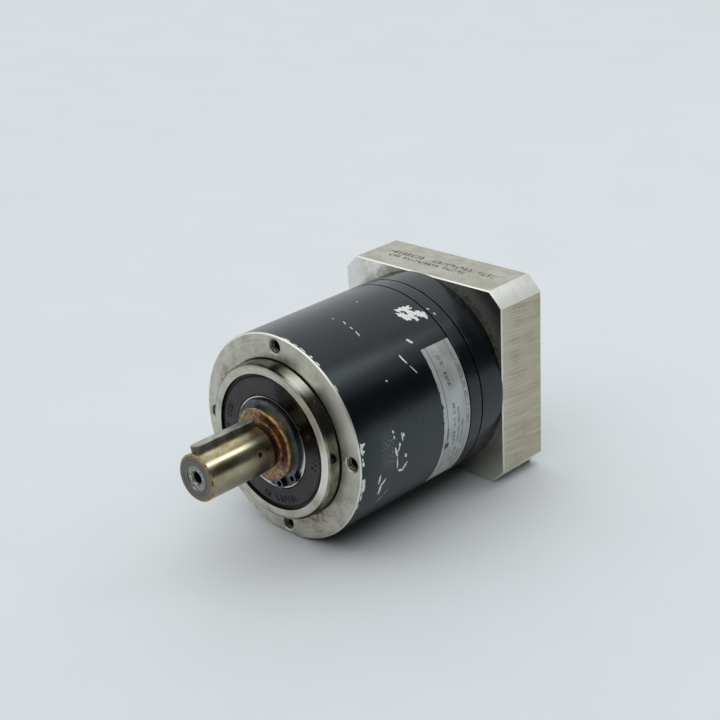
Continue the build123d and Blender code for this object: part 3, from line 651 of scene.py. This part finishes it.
def chip_primer():
    """Pale etched aluminium that shows where the paint is gone."""
    g = Graph("chip_primer_finish")
    grain = g.noise(0.6, detail=5.0, rough=0.7)
    colour = g.colour_mix(grain.rise(0.3, 0.55), shown(208, 210, 202), shown(250, 251, 246))
    return g.made(Finish(colour, 0.6 + (grain - 0.5) * 0.3, 0.0, grain * 0.02))


def thread_metal():
    """Cut threads: bare metal by a flange hole's mouth, with painted shade deeper in and in the shaft's
    end.
    """
    g = Graph("thread_metal_finish")
    grain = g.noise(0.5, detail=5.0, rough=0.7)
    colour = g.colour_mix(grain.rise(0.4, 0.65), shown(126, 122, 112), shown(204, 202, 192))
    deep_painted_shade = (g.y.rise(1.6, 3.4) * g.y.fall(14.0, 15.0)).math("MAXIMUM", g.y.fall(-20.0, -19.0))
    colour = g.colour_mix(deep_painted_shade, colour, shown(12, 12, 10))
    return g.made(Finish(colour, 0.34 + (grain - 0.5) * 0.3, 0.85))


# --- finishes on the CAD nodes ------------------------------------------------------------------

def dress(material, *names):
    """Puts a material on CAD nodes, by the starts of their names."""
    for name in sorted(nodes):
        if any(name.startswith(start) for start in names):
            for place in nodes[name].material_slots:
                place.material = material


dress(turned_metal("bearing_steel_finish", shown(214, 214, 208), shown(168, 168, 160), 0.16, 0.2),
      "front_bearing_", "second_bearing_", "input_bearing_", "planet_pin_", "planet_rollers_")
dress(turned_metal("spacer_steel_finish", shown(190, 190, 184), shown(138, 138, 132), 0.3),
      "inner_bearing_spacer", "outer_bearing_spacer", "carrier_rear_plate", "planet_thrust_washers")
dress(turned_metal("hub_steel_finish", shown(182, 181, 174), shown(122, 120, 112), 0.28),
      "input_shaft", "clamp_ring")
dress(support_washer(), "support_washer")
dress(front_bearing_ring(), "front_bearing_outer_ring")
dress(gear_steel(), "planet_gear_", "ring_gear")
dress(cage_plastic(), "front_bearing_cage", "second_bearing_cage", "input_bearing_cage")
dress(phosphated_spring(),
      "shaft_retaining_ring", "input_retaining_ring", "bearing_retaining_ring", "wave_washer")
dress(plain_rubber(), "flange_o_ring", "rear_housing_o_ring", "input_shaft_seal")
dress(seal_rubber(), "front_bearing_seal")
dress(black_oxide(), "casing_screws", "plate_screws", "clamp_screw", "carrier_screws")
dress(plug_plastic(), "access_plug")
dress(main_housing(), "main_housing")
dress(painted_casing("rear_casing_finish"), "rear_housing", "intermediate_flange")
dress(adapter_plate(), "adapter_plate")
dress(output_shaft(), "output_shaft")
dress(shaft_key(), "shaft_key")


# --- new pieces ---------------------------------------------------------------------------------

def piece(name, points, faces, body, slot, material, smooth=False):
    """A mesh piece that rides on a body, from points in millimetres."""
    mesh = bpy.data.meshes.new(name)
    mesh.from_pydata([Vector(p) * MM for p in points], [], faces)
    mesh.materials.append(material)
    mesh.polygons.foreach_set("use_smooth", [smooth] * len(mesh.polygons))
    mesh.update()
    made = bpy.data.objects.new(name, mesh)
    bpy.context.scene.collection.objects.link(made)
    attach(made, body)
    return made


def screw_thread(name, centres, radius, front, rear, body, slot, material, pitch=1.0, depth=0.48):
    """The ridges of an inner thread: one helix in each hole, fading in at both ends."""
    per_turn = 28
    steps = int((rear - front) / pitch * per_turn)
    points, faces = [], []
    for x, z in centres:
        first = len(points)
        for step in range(steps + 1):
            angle = 2 * math.pi * step / per_turn
            y = front + (rear - front) * step / steps
            crest = radius - depth * min(1.0, step / per_turn, (steps - step) / per_turn) - 0.01
            root = radius + 0.05
            for reach, along in ((root, -0.42), (crest, -0.07), (crest, 0.07), (root, 0.42)):
                points.append((x + reach * math.cos(angle), y + along * pitch, z + reach * math.sin(angle)))
        for step in range(steps):
            for corner in range(4):
                a, b = first + 4 * step + corner, first + 4 * step + (corner + 1) % 4
                faces.append((a, b, b + 4, a + 4))
        last = first + 4 * steps
        faces.append((first + 3, first + 2, first + 1, first))
        faces.append((last, last + 1, last + 2, last + 3))
    return piece(name, points, faces, body, slot, material, smooth=True)


def on_circle(radius, angles):
    return [(radius * math.cos(math.radians(a)), radius * math.sin(math.radians(a))) for a in angles]


threads = thread_metal()
screw_thread("flange_hole_threads", on_circle(FLANGE_HOLE_CIRCLE_R, (0, 90, 180, 270)), TAPPED_R,
             *FLANGE_THREADS, "root", "bare_aluminium", threads)
screw_thread("motor_hole_threads", on_circle(MOTOR_HOLE_CIRCLE_R, (45, 135, 225, 315)), TAPPED_R,
             *MOTOR_THREADS, "root", "bare_aluminium", threads)
screw_thread("shaft_centre_thread_ridges", [(0.0, 0.0)], CENTRE_HOLE_R,
             *CENTRE_THREADS, "output", "shaft_steel", threads, pitch=0.8, depth=0.28)


def rust_crust():
    """A lumpy bead of rust that stands out round the upper half of the shaft's shoulder."""
    turns, first, last = 96, 74.0, 176.0
    points, faces = [], []
    for i in range(turns + 1):
        angle = math.radians(first + (last - first) * i / turns)
        direction = (math.cos(angle), math.sin(angle))
        swell = math.sin(math.pi * i / turns) ** 0.7
        lump = noise.noise(Vector((9.0 * direction[0], 9.0 * direction[1], 1.0)))
        lump += 0.6 * noise.noise(Vector((24.0 * direction[0], 24.0 * direction[1], 2.0)))
        reach = 14.7 + swell * (1.5 + 0.5 * lump)
        thick = 0.25 + swell * (0.45 + 0.25 * lump)
        profile = ((14.2, -10.0), (14.6, -10.0 - 0.35 * thick), (reach - 0.4, -10.0 - 0.2 * thick),
                   (reach, -9.7), (reach - 0.2, -9.2), (14.8, -8.8), (14.2, -9.0))
        points += [(radius * direction[0], y, radius * direction[1]) for radius, y in profile]
    width = len(profile)
    for i in range(turns):
        for j in range(width):
            a, b = i * width + j, i * width + (j + 1) % width
            faces.append((a, b, b + width, a + width))
    end = turns * width
    faces.append(tuple(range(width - 1, -1, -1)))
    faces.append(tuple(range(end, end + width)))
    piece("rust_crust", points, faces, "output", "shaft_steel", crust(), smooth=True)


rust_crust()


def torn_edge(angle):
    """How far the label's front edge is torn back at an angle: nicks on a slow wander."""
    nicks = ((17.5, 0.7, 0.5), (9.5, 1.3, 0.9), (6.0, 0.8, 0.5), (0.5, 0.6, 0.5), (-4.0, 0.4, 0.4))
    depth = 0.12 * math.sin(angle * 0.9) + 0.08 * math.sin(angle * 2.3 + 1.0)
    for at, width, bite in nicks:
        depth += bite * math.exp(-((angle - at) / width) ** 2)
    return max(0.0, depth)


def foil_label():
    """A foil sheet wrapped round the body, standing off it by its own thickness."""
    turns, columns = 252, 8
    top, bottom = BODY_R + 0.14, BODY_R + 0.005
    points, faces = [], []
    for i in range(turns + 1):
        angle = -LABEL_HALF_ANGLE + 2 * LABEL_HALF_ANGLE * i / turns
        front = LABEL_FRONT + torn_edge(angle)
        direction = (math.cos(math.radians(angle)), math.sin(math.radians(angle)))
        stations = [front + (LABEL_REAR - front) * j / columns for j in range(columns + 1)]
        for radius, y in [(bottom, front)] + [(top, y) for y in stations] + [(bottom, LABEL_REAR)]:
            points.append((radius * direction[0], y, radius * direction[1]))
    width = columns + 3
    for i in range(turns):
        for j in range(width):
            a, b = i * width + j, i * width + (j + 1) % width
            faces.append((a, a + width, b + width, b))
    last = turns * width
    faces.append(tuple(range(width)))
    faces.append(tuple(range(last + width - 1, last - 1, -1)))
    label = piece("foil_name_label", points, faces, "root", "label_foil", label_foil())
    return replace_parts(label, "name_label")


foil_label()


# Where the paint has chipped off the body: (y, angle) of both ends of each chip, and its width.
BIG_CHIPS = [
    ((55.5, 68.5), (59.5, 67.6), 3.0),
    ((54.5, 65.0), (56.5, 61.5), 3.4),
    ((58.0, 65.0), (58.8, 58.6), 2.2),
    ((60.5, 62.0), (63.6, 59.6), 3.2),
    ((58.5, 66.0), (62.0, 61.0), 1.6),
    ((63.8, 57.4), (64.6, 60.4), 1.8),
]
SMALL_CHIPS = [
    ((61.4, 68.5), (61.8, 68.2), 0.7),
    ((68.0, 61.7), (68.2, 61.3), 0.8),
    ((69.0, 57.6), (69.1, 56.6), 0.7),
    ((46.8, 50.0), (48.1, 47.6), 1.2),
    ((38.0, 44.4), (39.3, 39.4), 0.9),
    ((40.2, 37.0), (41.9, 32.4), 0.45),
    ((46.4, 88.0), (46.7, 87.6), 0.6),
    ((29.2, 76.4), (28.7, 74.2), 0.5),
    ((28.7, 71.2), (28.8, 69.2), 0.5),
    ((28.7, 66.8), (28.3, 63.2), 0.5),
    ((27.6, 82.3), (27.8, 81.9), 0.5),
    ((25.3, 35.5), (25.5, 35.0), 0.6),
    ((19.7, 10.4), (19.8, 9.8), 1.0),
    ((20.0, 7.5), (20.0, 6.9), 0.9),
    ((24.3, 7.6), (24.5, 3.2), 0.7),
    ((25.3, 6.6), (25.4, 5.4), 1.0),
    ((22.7, 2.2), (22.6, 1.4), 1.1),
    ((22.5, 1.0), (21.7, -1.2), 0.7),
    ((20.1, 0.6), (20.9, -3.5), 1.1),
    ((26.0, -5.6), (26.1, -6.6), 1.1),
    ((21.1, -5.6), (21.4, -11.2), 0.8),
    ((22.6, -13.3), (24.8, -14.4), 1.2),
    ((24.8, -14.3), (27.1, -11.0), 1.0),
    ((11.5, -10.8), (11.1, -14.8), 1.1),
    ((14.6, -15.0), (12.6, -18.0), 1.1),
    ((12.7, -17.5), (12.6, -23.0), 1.3),
    ((18.8, -24.1), (16.4, -26.1), 0.35),
    ((15.8, -27.6), (13.4, -30.5), 0.35),
]
EDGE_CHIPS = [
    ((1.5, 11.8), (1.5, 7.4), 1.5),
    ((1.8, 10.6), (3.2, 11.4), 1.3),
    ((1.6, 8.2), (2.6, 7.8), 1.0),
    ((1.4, 4.2), (1.4, 3.8), 0.8),
    ((1.4, 2.4), (1.6, 0.4), 1.2),
    ((1.5, -8.0), (1.9, -11.6), 1.9),
    ((1.3, -11.0), (1.2, -15.4), 1.3),
    ((2.2, -13.2), (2.4, -14.6), 0.8),
    ((1.3, -17.0), (1.2, -19.6), 1.0),
    ((1.1, -24.0), (1.0, -26.0), 0.6),
    ((1.0, 68.0), (1.1, 71.5), 0.5),
    ((1.0, 73.5), (1.0, 76.0), 0.4),
    ((0.95, 79.0), (0.95, 84.0), 0.5),
    ((1.2, 64.4), (1.2, 63.5), 0.9),
    ((1.1, 59.8), (1.1, 57.6), 0.7),
    ((1.0, 44.8), (1.0, 41.2), 0.4),
]


def chip_outline(start, end, width, ragged):
    """Points round one chip, in (y, degrees), its rim broken up by noise."""
    per_degree = BODY_R * math.radians(1)
    (y0, a0), (y1, a1) = start, end
    along = Vector((y1 - y0, (a1 - a0) * per_degree))
    middle = Vector(((y0 + y1) / 2, (a0 + a1) / 2 * per_degree))
    half = along.length / 2 + width / 2
    along.normalize()
    across = Vector((-along.y, along.x))
    count = max(20, int(half * 14))
    for step in range(count):
        turn = 2 * math.pi * step / count
        lengthwise, sideways = math.cos(turn) * half, math.sin(turn) * width / 2
        point = middle + along * lengthwise + across * sideways
        wobble = noise.noise(Vector((point.x * 1.3, point.y * 1.3, half)))
        wobble += 0.5 * noise.noise(Vector((point.x * 3.1, point.y * 3.1, width)))
        point = middle + (point - middle) * (1 + ragged * wobble)
        yield point.x, point.y / per_degree


def paint_chips():
    """Bare primer where paint is missing: patches just clear of the body, in rings that follow it."""
    rings = (1.0, 0.75, 0.5, 0.25)
    points, faces = [], []
    for chips, ragged in ((BIG_CHIPS, 0.7), (SMALL_CHIPS, 0.35), (EDGE_CHIPS, 0.55)):
        for start, end, width in chips:
            outline = [Vector(place) for place in chip_outline(start, end, width, ragged)]
            count, first = len(outline), len(points)
            middle = sum(outline, Vector((0.0, 0.0))) / count
            places = [middle.lerp(place, share) for share in rings for place in outline]
            for y, angle in places + [middle]:
                direction = (math.cos(math.radians(angle)), math.sin(math.radians(angle)))
                points.append((CHIP_R * direction[0], max(y, 0.65), CHIP_R * direction[1]))
            for step in range(count):
                for ring in range(len(rings) - 1):
                    a, b = first + ring * count + step, first + ring * count + (step + 1) % count
                    faces.append((a, b, b + count, a + count))
                last = first + (len(rings) - 1) * count
                faces.append((last + step, last + (step + 1) % count, last + count))
    piece("paint_chips", points, faces, "root", "bare_aluminium", chip_primer())


paint_chips()


# --- studio -------------------------------------------------------------------------------------

def floor():
    """A plain pale sweep under the gearbox, with the faintest paper mottling."""
    size, z = 20.0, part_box("adapter_plate")[0].z
    mesh = bpy.data.meshes.new("floor")
    corners = [(-size, -size, z), (size, -size, z), (size, size, z), (-size, size, z)]
    mesh.from_pydata(corners, [], [(0, 1, 2, 3)])
    g = Graph("pale_floor")
    mottle = g.noise(60.0, detail=6.0, rough=0.6)
    colour = g.colour_mix(mottle.rise(0.3, 0.7), shown(227, 230, 232), shown(229, 232, 234))
    mesh.materials.append(g.made(Finish(colour, 0.6, 0.0, g.noise(1.2, detail=3.0) * 0.02)))
    made = bpy.data.objects.new("floor", mesh)
    bpy.context.scene.collection.objects.link(made)


# The soft light: where each diffuser is, the cosines off that direction where it starts and is full, and
# its radiance.
DIFFUSERS = [
    ((-0.75, 0.45, 0.48), 0.35, 0.65, 0.92),
    ((-0.10, -0.30, 0.95), 0.58, 0.80, 1.36),
    ((0.36, 0.70, 0.61), 0.955, 0.982, 0.62),
]


def surroundings():
    """A dim room with big diffusers: behind on the left, overhead, and a small one behind on the right."""
    world = bpy.data.worlds.new("studio")
    world.use_nodes = True
    tree = world.node_tree
    coordinates = tree.nodes.new("ShaderNodeTexCoord")
    background = tree.nodes["Background"]
    background.inputs["Color"].default_value = (0.95, 0.98, 1.0, 1.0)
    brightest = None
    for toward, low, high, radiance in DIFFUSERS:
        dot = tree.nodes.new("ShaderNodeVectorMath")
        dot.operation = "DOT_PRODUCT"
        dot.inputs[1].default_value = Vector(toward).normalized()
        tree.links.new(coordinates.outputs["Generated"], dot.inputs[0])
        fade = tree.nodes.new("ShaderNodeMapRange")
        fade.interpolation_type = "SMOOTHSTEP"
        for name, value in (("From Min", low), ("From Max", high), ("To Min", 0.05), ("To Max", radiance)):
            fade.inputs[name].default_value = value
        tree.links.new(dot.outputs["Value"], fade.inputs["Value"])
        if brightest is None:
            brightest = fade.outputs["Result"]
        else:
            larger = tree.nodes.new("ShaderNodeMath")
            larger.operation = "MAXIMUM"
            tree.links.new(brightest, larger.inputs[0])
            tree.links.new(fade.outputs["Result"], larger.inputs[1])
            brightest = larger.outputs[0]
    tree.links.new(brightest, background.inputs["Strength"])
    bpy.context.scene.world = world


def softbox(name, place, target, size, power):
    light = bpy.data.lights.new(name, "AREA")
    light.shape = "SQUARE"
    light.size = size
    light.energy = power
    made = bpy.data.objects.new(name, light)
    made.location = place
    made.rotation_euler = (Vector(target) - Vector(place)).to_track_quat("-Z", "Y").to_euler()
    bpy.context.scene.collection.objects.link(made)


def camera(place, azimuth, elevation, roll, lens):
    """Azimuth 0 looks along +Y and 90 along -X; the horizon tips by the roll, in degrees."""
    a, e = math.radians(azimuth), math.radians(elevation)
    back = Vector((math.sin(a) * math.cos(e), -math.cos(a) * math.cos(e), math.sin(e)))
    right = Vector((math.cos(a), math.sin(a), 0))
    turn = Matrix.Rotation(math.radians(roll), 3, back)
    right, up = turn @ right, turn @ back.cross(right)
    data = bpy.data.cameras.new("camera")
    data.lens, data.sensor_width = lens, 36.0
    made = bpy.data.objects.new("camera", data)
    made.matrix_world = Matrix.Translation(place) @ Matrix((right, up, back)).transposed().to_4x4()
    bpy.context.scene.collection.objects.link(made)
    bpy.context.scene.camera = made


floor()
surroundings()
softbox("back_softbox", (0.37, 0.55, 0.74), (0.0, 0.0, 0.0), 0.25, 0.42)
camera((0.41318, -0.36751, 0.26964), 44.838, 23.271, -3.164, 75.118)
bpy.context.scene.view_settings.view_transform = "Standard"
